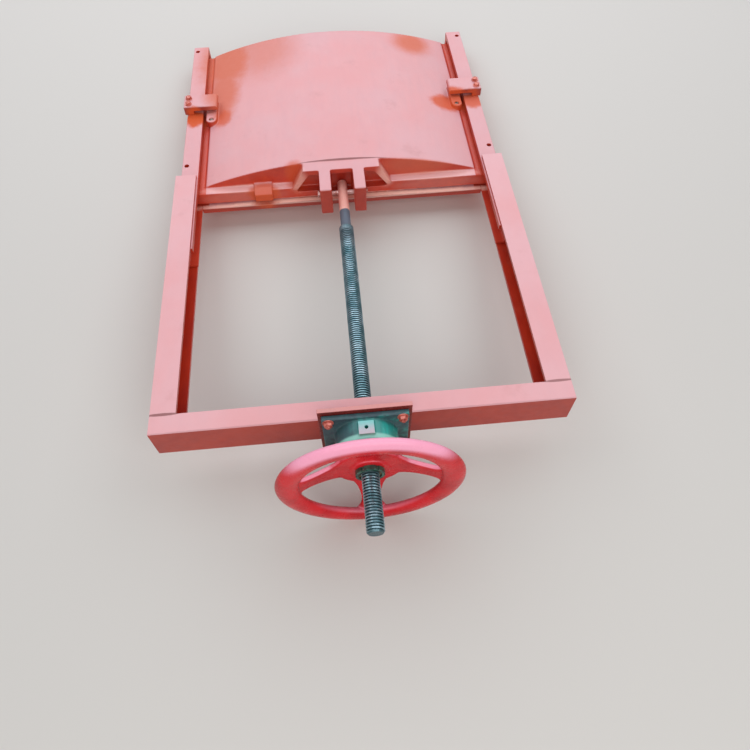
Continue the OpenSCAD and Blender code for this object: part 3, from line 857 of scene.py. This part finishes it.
def addSpoke(bm, look, angle):
    cx, cy = look["centre"]
    steps, across = 60, 24
    start, end = look["spokeFrom"], look["spokeTo"]
    low, high = look["climbFrom"], look["climbTo"]
    hub, rim, power = look["hubFlare"], look["rimFlare"], look["spokePower"]
    rows = []
    for i in range(steps + 1):
        r = start + (end - start) * i / steps
        climb = min(1.0, max(0.0, (r - low) / (high - low)))
        z = look["hubZ"] + (look["rimZ"] - look["hubZ"]) * (0.8 * climb + 0.2 * climb * climb)
        half = look["spokeHalfWidth"]
        half += hub["wide"] * math.exp(-max(0.0, r - hub["upTo"]) / hub["fade"])
        half += rim["wide"] * math.exp(-max(0.0, rim["from"] - r) / rim["fade"])
        row = []
        for k in range(across):
            turn = 2 * math.pi * k / across
            c, s = math.cos(turn), math.sin(turn)
            side = half * math.copysign(abs(c) ** power, c)
            up = z + look["spokeHalfHeight"] * math.copysign(abs(s) ** power, s)
            row.append(bm.verts.new((cx + r * math.cos(angle) - side * math.sin(angle),
                                     cy + r * math.sin(angle) + side * math.cos(angle), up)))
        rows.append(row)
    joinAndCap(bm, rows)


# Rings of (radius, height) turned round the stem's axis, closed into a tube
def addTube(bm, profile, centre, sides=128):
    rows = []
    for radius, height in profile:
        rows.append([bm.verts.new((centre[0] + radius * math.cos(2 * math.pi * k / sides),
                                   centre[1] + radius * math.sin(2 * math.pi * k / sides), height))
                     for k in range(sides)])
    joinRings(bm, rows + rows[:1])


def buildWheel(look):
    bm = bmesh.new()
    addRim(bm, look)
    for k in range(4):
        addSpoke(bm, look, k * math.pi / 2)
    bore, hub, collar = look["boreRadius"], look["hubRadius"], look["collarRadius"]
    foot, top, collarTop = look["hubFoot"], look["hubTop"], look["collarTop"]
    profile = [(bore, foot), (hub - 0.0013, foot), (hub, foot + 0.0016), (hub, top - 0.0018),
               (hub - 0.0018, top), (collar + 0.001, top + 0.0004), (collar, collarTop - 0.0006),
               (collar - 0.001, collarTop), (bore, collarTop)]
    addTube(bm, profile, look["centre"])
    bmesh.ops.recalc_face_normals(bm, faces=bm.faces)
    castPiece(bm, "handwheelCasting", wheelPaint, "wheel", ["handwheel"], look)


buildWheel(wheelShape)
print("handwheel made")

# Operator housing with its oil pad, one casting
housingShape = {
    "voxel": 0.0012,
    "smoothing": 5,
    "keep": 0.45,
}


def buildHousing(look):
    bm = bmesh.new()
    addNodeSolid(bm, "operator_housing")
    addNodeSolid(bm, "oil_pad")
    bmesh.ops.remove_doubles(bm, verts=bm.verts, dist=1e-6)
    castPiece(bm, "housingCasting", housingPaint, "frame",
              ["operator_housing", "oil_pad"], look)


buildHousing(housingShape)
print("housing made")

# Stem: a left-hand trapezoidal thread over a plain shank, with a chamfered tip
stemShape = {
    "centre": (0.0, -0.042),
    "foot": 0.547,
    "shankRadius": 0.011,
    "shankTop": 0.690,
    "crest": 0.0154,
    "root": 0.0128,
    "threadLow": 0.700,
    "top": 1.369,
    "chamfer": 0.003,
    "pitch": 0.005,
    "profile": ((0.0, 0), (0.14, 1), (0.51, 1), (0.65, 0)),
    "fadeTurns": 1.2,
    "sides": 36,
}


def buildStem(look):
    bm = bmesh.new()
    cx, cy = look["centre"]
    sides, pitch, top = look["sides"], look["pitch"], look["top"]
    crest, root = look["crest"], look["root"]
    shank = look["shankRadius"]
    step = crest - shank

    def ring(radius, height):
        return [bm.verts.new((cx + radius * math.cos(-2 * math.pi * k / sides),
                              cy + radius * math.sin(-2 * math.pi * k / sides), height))
                for k in range(sides)]

    rows = [ring(r, z) for r, z in (
        (shank - 0.004, look["foot"]), (shank - 0.0003, look["foot"] + 0.0045),
        (shank, look["foot"] + 0.0055), (shank, look["shankTop"] - 0.0006),
        (shank + 0.0004, look["shankTop"] + 0.0004), (crest - 0.0003, look["shankTop"] + step),
        (crest, look["shankTop"] + step + 0.0006), (crest, look["threadLow"]))]
    for lower, upper in zip(rows, rows[1:]):
        for k in range(sides):
            j = (k + 1) % sides
            bm.faces.new((lower[k], upper[k], upper[j], lower[j]))
    bm.faces.new(rows[0])
    # A profile's points: share of the pitch, and whether the point is on the crest
    turns = (top - look["threadLow"]) / pitch
    count = round(turns * sides)
    helix = []
    for i in range(count + sides + 1):
        angle = -2 * math.pi * i / sides
        fade = min(1.0, i / (look["fadeTurns"] * sides))
        row = []
        for share, onCrest in look["profile"]:
            z = min(top, look["threadLow"] + pitch * (i / sides + share))
            radius = crest if onCrest else crest - (crest - root) * fade
            radius = min(radius, crest - look["chamfer"] + (top - z))
            row.append(bm.verts.new((cx + radius * math.cos(angle),
                                     cy + radius * math.sin(angle), z)))
        helix.append(row)
    for i in range(count):
        a, b = helix[i], helix[i + 1]
        for k in range(3):
            bm.faces.new((a[k], a[k + 1], b[k + 1], b[k]))
        bm.faces.new((a[3], helix[i + sides][0], helix[i + sides + 1][0], b[3]))
    base = rows[-1]
    for i in range(sides):
        j = (i + 1) % sides
        bm.faces.new((base[i], helix[i][0], helix[i + 1][0], base[j]))
    bmesh.ops.remove_doubles(bm, verts=bm.verts, dist=2e-6)
    loose = [v for v in bm.verts if not v.link_faces]
    bmesh.ops.delete(bm, geom=loose, context="VERTS")
    rim = [edge for edge in bm.edges if len(edge.link_faces) == 1]
    bmesh.ops.holes_fill(bm, edges=rim, sides=0)
    placeMesh(finishMesh(bm, "threadedStem", 30), "threadedStem", "gate",
              stemSteel, ["stem"])


buildStem(stemShape)
print("stem made")

# Turned pieces that keep their CAD solid, with small rounded edges
roundedCopy("hanger_pin", "hangerPin", smallMetals["pinSteel"], "gate", 0.0006, 0.0)
roundedCopy("drive_nut", "driveNut", smallMetals["nutBronze"], "wheel", 0.0005, 0.0)
roundedCopy("ring_nut", "ringNut", smallMetals["ringPaint"], "wheel", 0.0006, 0.0)

# Bolts of the operator and the wedge bars, and set screws in the wedge bosses
fasteners = {
    "operator": {"x": 0.063, "y": (-0.092, 0.008), "z": 1.190, "flats": 0.013, "stub": 0.003,
                 "turnedBy": 17},
    "wedgeBar": {"x": 0.354, "y": -0.083, "z": (0.256, 0.278), "flats": 0.011, "turnedBy": 23},
    "wedgeScrew": {"x": 0.301, "y": -0.0645, "z": 0.316, "radius": 0.0042},
}


def buildBolts(look):
    bolts = look["operator"]
    bm = bmesh.new()
    twist = 8
    for side in (-1, 1):
        for y in bolts["y"]:
            addBolt(bm, (side * bolts["x"], y, bolts["z"]), (0, 0, 1), bolts["flats"], twist,
                    bolts["stub"])
            twist += bolts["turnedBy"]
    placeMesh(finishMesh(bm, "operatorBolts"), "operatorBolts", "frame",
              smallMetals["boltSteel"])
    bolts = look["wedgeBar"]
    bm = bmesh.new()
    for side in (-1, 1):
        for z in bolts["z"]:
            addBolt(bm, (side * bolts["x"], bolts["y"], z), (0, -1, 0), bolts["flats"], twist)
            twist += bolts["turnedBy"]
    placeMesh(finishMesh(bm, "wedgeBarBolts"), "wedgeBarBolts", "frame",
              smallMetals["boltSteel"])
    screw = look["wedgeScrew"]
    bm = bmesh.new()
    for side in (-1, 1):
        place = standOn((side * screw["x"], screw["y"], screw["z"]), (0, -1, 0))
        r = screw["radius"]
        addSpun(bm, [(r, -0.006, 0), (r, -0.0006, 0), (r - 0.0006, 0, 0), (r * 0.5, 0, 0),
                     (r * 0.45, -0.002, 0)], place)
    placeMesh(finishMesh(bm, "wedgeScrews"), "wedgeScrews", "gate",
              smallMetals["setScrewSteel"])


buildBolts(fasteners)

# Weld beads inside the yoke's two corners
seams = {
    "radius": 0.0022,
    "webX": 0.363,
    "innerX": 0.325,
    "frontY": -0.070,
    "backY": 0.0,
    "beamLow": 1.134,
    "webEnds": 0.012,
    "flangeIn": 0.007,
    "lipIn": 0.004,
    "flangeRadius": 0.00198,
}


def buildSeams(look):
    bm = bmesh.new()
    seed = 1
    z = look["beamLow"]
    front, back = look["frontY"], look["backY"]
    for side in (-1, 1):
        x = side * look["webX"]
        inner = side * (look["innerX"] + look["lipIn"])
        addWeldBead(bm, (x, front + look["webEnds"], z), (x, back - look["webEnds"], z),
                    look["radius"], seed)
        for y in (front + look["flangeIn"], back - look["flangeIn"]):
            addWeldBead(bm, (inner, y, z), (x, y, z), look["flangeRadius"], seed + 1)
        seed += 2
    placeMesh(finishMesh(bm, "yokeWelds", 70), "yokeWelds", "frame", framePaint)


buildSeams(seams)
print("fasteners and seams made")

# Stage: the pale ground that the gate lies on, on its foot and its handwheel's rim
stageLook = {
    "colour": (206, 203, 198),
    "size": 12.0,
    "tilt": 5.212,
    "sink": 0.0006,
    "fill": 0.28,
    "background": (222, 220, 216),
}


def buildStage(look):
    bm = bmesh.new()
    half = look["size"] / 2
    corners = [bm.verts.new((x, 0, z)) for x, z in ((-half, -half), (half, -half), (half, half),
                                                    (-half, half))]
    bm.faces.new(corners)
    mesh = bpy.data.meshes.new("ground")
    bm.to_mesh(mesh)
    bm.free()
    material = bpy.data.materials.new("ground")
    material.use_nodes = True
    tree = material.node_tree
    shader = tree.nodes["Principled BSDF"]
    shader.inputs["Roughness"].default_value = 0.9
    shader.inputs["Specular IOR Level"].default_value = 0.1
    shader.inputs["Base Color"].default_value = screenColour(*look["colour"])
    # Seen from behind, and by light on its way to the gate, the ground isn't there
    away = addNode(tree, "ShaderNodeNewGeometry").outputs["Backfacing"]
    shadow = addNode(tree, "ShaderNodeLightPath").outputs["Is Shadow Ray"]
    clear = addNode(tree, "ShaderNodeBsdfTransparent")
    share = maths(tree, "MAXIMUM", away, shadow)
    both = addNode(tree, "ShaderNodeMixShader", {0: share, 1: shader.outputs[0],
                                                 2: clear.outputs[0]})
    tree.links.new(both.outputs[0], tree.nodes["Material Output"].inputs["Surface"])
    mesh.materials.append(material)
    ground = bpy.data.objects.new("ground", mesh)
    bpy.context.scene.collection.objects.link(ground)
    ground.rotation_euler = (-math.radians(look["tilt"]), 0, 0)
    ground.location = (0, look["sink"], 0)


def buildWorld(look):
    world = bpy.data.worlds.new("studio")
    bpy.context.scene.world = world
    world.use_nodes = True
    tree = world.node_tree
    tree.nodes.clear()
    path = addNode(tree, "ShaderNodeLightPath")
    fill = addNode(tree, "ShaderNodeBackground", {0: (1, 1, 1, 1), 1: look["fill"]})
    shown = addNode(tree, "ShaderNodeBackground", {0: screenColour(*look["background"])})
    share = maths(tree, "MAXIMUM", path.outputs["Is Camera Ray"], path.outputs["Is Glossy Ray"])
    share = maths(tree, "MAXIMUM", share, path.outputs["Is Transmission Ray"])
    both = addNode(tree, "ShaderNodeMixShader", {0: share, 1: fill.outputs[0],
                                                 2: shown.outputs[0]})
    output = addNode(tree, "ShaderNodeOutputWorld")
    tree.links.new(both.outputs[0], output.inputs["Surface"])


# Softboxes: place, aim, width, height and the radiance that they show
lamps = {
    "frontBox": {"at": (0.0, -2.2, -1.6), "aim": (0.0, 0.0, -1.6), "size": (5.4, 5.2),
                 "radiance": 1.36, "colour": (0.97, 0.99, 1.055)},
    "upperBox": {"at": (-0.2, -1.6, 3.2), "aim": (0.0, 0.0, 0.9), "size": (3.2, 2.4),
                 "radiance": 2.1, "colour": (1.0, 1.0, 1.0)},
    "backBox": {"at": (-0.8, 2.8, 0.2), "aim": (0.0, 0.0, 0.5), "size": (2.4, 2.4),
                "radiance": 1.8, "colour": (1.0, 1.0, 1.0)},
}


def buildLamps(boxes):
    for name, look in boxes.items():
        light = bpy.data.lights.new(name, "AREA")
        light.shape = "RECTANGLE"
        light.size, light.size_y = look["size"]
        light.energy = look["radiance"] * math.pi * light.size * light.size_y
        light.color = look["colour"]
        lamp = bpy.data.objects.new(name, light)
        bpy.context.scene.collection.objects.link(lamp)
        lamp.location = look["at"]
        aim = Vector(look["aim"]) - Vector(look["at"])
        lamp.rotation_euler = aim.to_track_quat("-Z", "Y").to_euler()
        lamp.visible_camera = False


buildStage(stageLook)
buildWorld(stageLook)
buildLamps(lamps)

# Camera of the photo, for a square frame: place, and the directions of its right and down
cameraLook = {
    "at": (0.02202, -1.01573, 1.68307),
    "right": (-0.99550, 0.00961, 0.09428),
    "down": (0.08490, 0.53239, 0.84223),
    "sensor": 36.0,
    "lens": 36.0 * 625.4 / 750,
}


def buildCamera(look):
    data = bpy.data.cameras.new("camera")
    data.sensor_width = look["sensor"]
    data.lens = look["lens"]
    data.clip_end = 50
    camera = bpy.data.objects.new("camera", data)
    bpy.context.scene.collection.objects.link(camera)
    right = Vector(look["right"]).normalized()
    up = -Vector(look["down"]).normalized()
    back = right.cross(up).normalized()
    up = back.cross(right)
    camera.matrix_world = Matrix.Translation(look["at"]) @ Matrix(
        (right, up, back)).transposed().to_4x4()
    bpy.context.scene.camera = camera


buildCamera(cameraLook)
bpy.context.scene.view_settings.view_transform = "Standard"
print("stage, lamps and camera placed")
